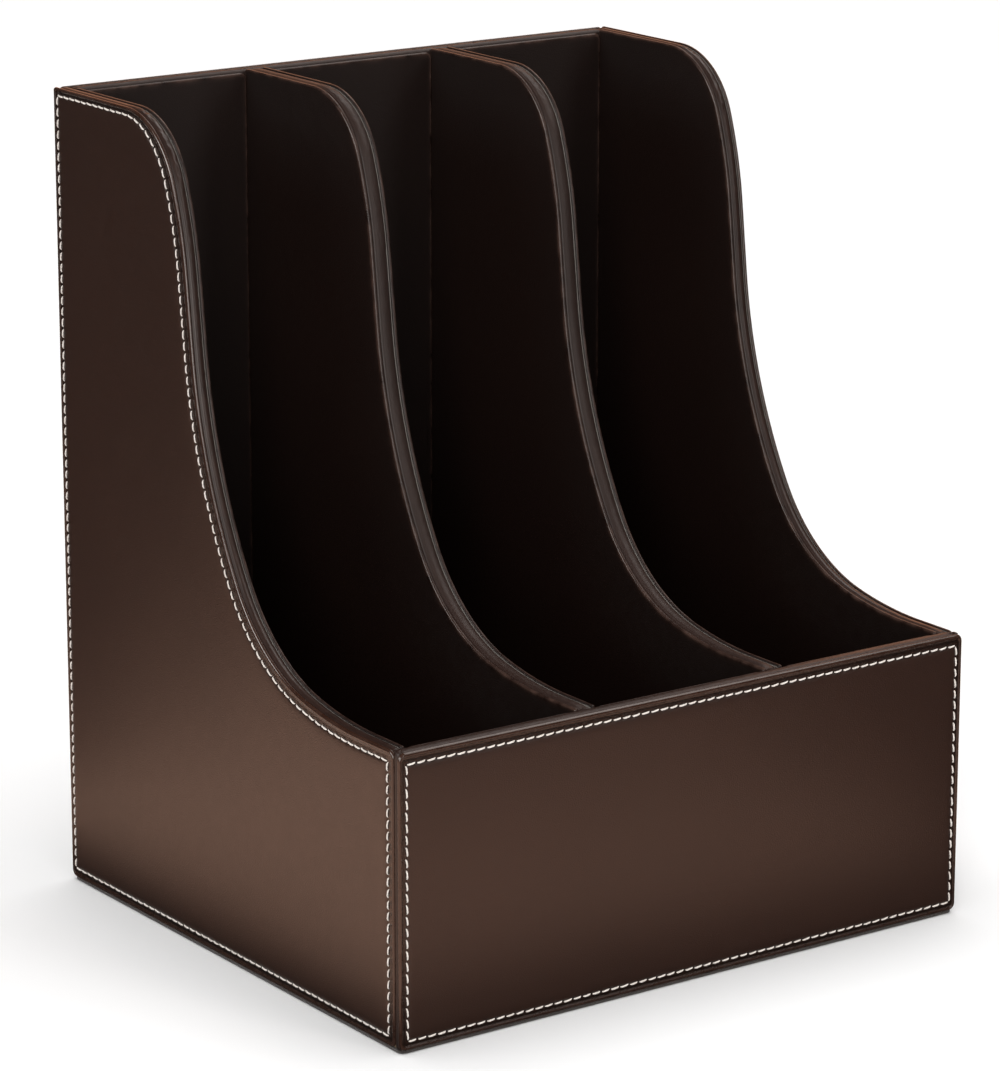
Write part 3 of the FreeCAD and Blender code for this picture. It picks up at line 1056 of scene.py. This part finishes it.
def make_floor():
    """Pale matt floor. The leather mirrors only the warm cards that lie round the object."""
    pale = pale_material("pale_floor", (0.88, 0.905, 0.925))
    corners = [(x, y, FLOOR_LEVEL) for x, y in ((-12, -12), (12, -12), (12, 12), (-12, 12))]
    floor = add_sheet("floor", pale, [corners])
    floor.visible_glossy = False
    left = flat_polygon((-0.172, -0.45), (-0.172, 0.20), (-0.80, 0.64), (-0.80, -0.45))
    front = flat_polygon((-0.50, -0.36), (0.20, -0.36), (0.20, -0.19), (-0.50, -0.19))
    right = flat_polygon((0.182, -0.10), (0.80, -0.10), (0.80, 0.45), (0.182, 0.45))
    back = flat_polygon((-0.18, 0.19), (0.18, 0.19), (0.18, 0.42), (-0.18, 0.42))
    bright = pale_material("bright_warm_card", (1.0, 0.64, 0.48), 0.16)
    dim = pale_material("dim_warm_card", (0.90, 0.56, 0.42))
    mirrored_only(add_sheet("side_cards", bright, [left, right]))
    mirrored_only(add_sheet("end_cards", dim, [front, back]))


def glow_material(name, dim, bright, strength):
    """Glowing surface, very slightly uneven between two colours."""
    n = Nodes(name)
    n.join(n.mix(n.noise(2.0, 1.0), dim, bright), n.shader.inputs["Emission Color"])
    n.shader.inputs["Emission Strength"].default_value = strength
    n.shader.inputs["Base Color"].default_value = (0, 0, 0, 1)
    return n.material


def add_glow(name, strength, polygons):
    """Pale glow, which only the leather mirrors."""
    material = glow_material(name, (1.0, 0.93, 0.88), (1.0, 0.97, 0.94), strength)
    mirrored_only(add_sheet(name, material, polygons))


def add_warm_wall():
    """Copper-coloured glow behind the object, which only the leather mirrors."""
    material = glow_material("warm_wall", (1.0, 0.41, 0.22), (1.0, 0.47, 0.27), 1.1)
    corners = [(3.4, 1.2, 0.25), (0.2, 3.6, 0.25), (0.2, 3.6, 1.9), (3.4, 1.2, 1.9)]
    mirrored_only(add_sheet("warm_wall", material, [corners]))


def fence(posts):
    """Upright polygons along a row of posts (x, y, foot, top)."""
    polygons = []
    for (x, y, foot, top), (next_x, next_y, next_foot, next_top) in zip(posts, posts[1:]):
        near = [(x, y, foot), (next_x, next_y, next_foot)]
        polygons.append(near + [(next_x, next_y, next_top), (x, y, top)])
    return polygons


def add_low_cards():
    """Low glow round the left, which draws the thin bright line on the rolled edges."""
    front = [(-0.48, -1.28, 0.03, 0.45), (-0.80, -1.10, 0.03, 0.50), (-1.25, -0.70, 0.03, 0.50)]
    left = [(-1.40, -0.45, 0.45, 1.05), (-1.45, 0.15, 0.55, 1.15), (-1.38, 0.62, 0.60, 1.15)]
    add_glow("front_low_card", 5.0, fence(front))
    add_glow("left_low_card", 8.5, fence(left))


def add_high_card():
    """Soft glow high at the right, which the crowns of the bindings mirror."""
    low = [(0.75, -1.35, 1.35), (0.75, 0.35, 2.05), (0.65, 1.15, 1.60)]
    high = [(1.50, -1.35, 1.35), (1.50, 0.35, 2.05), (1.40, 1.15, 1.60)]
    halves = [[low[i], low[i + 1], high[i + 1], high[i]] for i in range(2)]
    add_glow("high_card", 3.0, halves)


def add_light(name, place, target, size, power, colour):
    """Soft rectangular light at a place, looking at a target."""
    lamp = bpy.data.lights.new(name, "AREA")
    lamp.shape = "RECTANGLE"
    lamp.size, lamp.size_y = size
    lamp.energy = power
    lamp.color = colour
    light = bpy.data.objects.new(name, lamp)
    bpy.context.scene.collection.objects.link(light)
    light.location = place
    light.rotation_euler = (Vector(target) - Vector(place)).to_track_quat("-Z", "Y").to_euler()
    light.visible_camera = False


def add_sky_panel():
    """Wide soft sun straight overhead, which lights the whole floor evenly."""
    lamp = bpy.data.lights.new("overhead", "SUN")
    lamp.energy = 3.5
    lamp.color = (1.0, 0.97, 0.95)
    lamp.angle = math.radians(68)
    light = bpy.data.objects.new("overhead", lamp)
    bpy.context.scene.collection.objects.link(light)
    light.visible_glossy = False


def make_studio():
    """Soft light from above and the front, and a world that looks pale but lights dimly."""
    world = bpy.data.worlds.new("studio")
    world.use_nodes = True
    tree = world.node_tree
    background = tree.nodes["Background"]
    background.inputs["Color"].default_value = (1.0, 0.99, 0.98, 1)
    ray = tree.nodes.new("ShaderNodeLightPath")
    level = tree.nodes.new("ShaderNodeMapRange")
    tree.links.new(ray.outputs["Is Camera Ray"], level.inputs["Value"])
    level.inputs["To Min"].default_value = 0.04
    level.inputs["To Max"].default_value = 0.95
    tree.links.new(level.outputs["Result"], background.inputs["Strength"])
    bpy.context.scene.world = world
    add_sky_panel()
    add_light("key", (-2.4, -2.6, 1.3), (0, 0, 0.3), (0.9, 2.4), 46, (1.0, 0.96, 0.92))
    add_light("front_fill", (0.9, -3.3, 1.1), (0, 0, 0.3), (0.6, 2.0), 18, (1.0, 0.92, 0.87))
    add_warm_wall()
    add_low_cards()
    add_high_card()
    bpy.context.scene.view_settings.view_transform = "Standard"


def make_camera():
    """Long lens at the front left, a little above the object."""
    azimuth, elevation, roll = (math.radians(a) for a in (-35.359, 15.255, 0.059))
    aim = Vector((0.0422, 0.0663, 0.1355))
    distance = 1.968
    level = math.cos(elevation)
    back = Vector((math.sin(azimuth) * level, -math.cos(azimuth) * level, math.sin(elevation)))
    right = Vector((0, 0, 1)).cross(back).normalized()
    up = back.cross(right)
    turned_right = right * math.cos(roll) + up * math.sin(roll)
    turned_up = up * math.cos(roll) - right * math.sin(roll)
    pose = Matrix((turned_right, turned_up, back)).transposed().to_4x4()
    pose.translation = aim + back * distance
    data = bpy.data.cameras.new("camera")
    data.sensor_width = 36.0
    data.lens = 153.7
    data.clip_end = 50.0
    camera = bpy.data.objects.new("camera", data)
    camera.matrix_world = pose
    bpy.context.scene.collection.objects.link(camera)
    bpy.context.scene.camera = camera


def build():
    """Every piece of the holder."""
    for seed, side in enumerate(("left", "right"), 1):
        way = -1 if side == "left" else 1
        edge, node = side + "_side_edge", side + "_side_binding"
        add_side_panel(side, seed * 1.7)
        shaped_band(edge, node, 0.4, (0.08, 0.50), 1.0, 11.0 + seed)
        edge, node = side + "_divider_edge", side + "_divider_binding"
        shaped_band(edge, node, 1.0, (0.16, 0.30), 0.3, 21.0 + seed)
        upright_band(side + "_corner_edge", side + "_corner_strip", way, 31.0 + seed)
        add_wall_lining(side + "_side_lining", 41.0 + seed)
        for facing in ("left", "right"):
            lining = side + "_divider_" + facing + "_lining"
            add_wall_lining(lining, 51.0 + seed + len(facing))
    for seed, (end, wrinkles) in enumerate((("front", 0.12), ("back", 0.30)), 1):
        add_end_panel(end, 3.0 + seed * 1.3)
        level_band(end + "_edge", end + "_binding", wrinkles, 0.5, 61.0 + seed)
    for seed, bay in enumerate(("left", "middle", "right"), 1):
        for part in ("back", "front", "floor"):
            add_bay_lining(bay, part, 71.0 + seed * 3 + len(part))
    add_corner_folds()
    add_base()
    paint_hidden_nodes()


make_camera()
build()
make_floor()
make_studio()
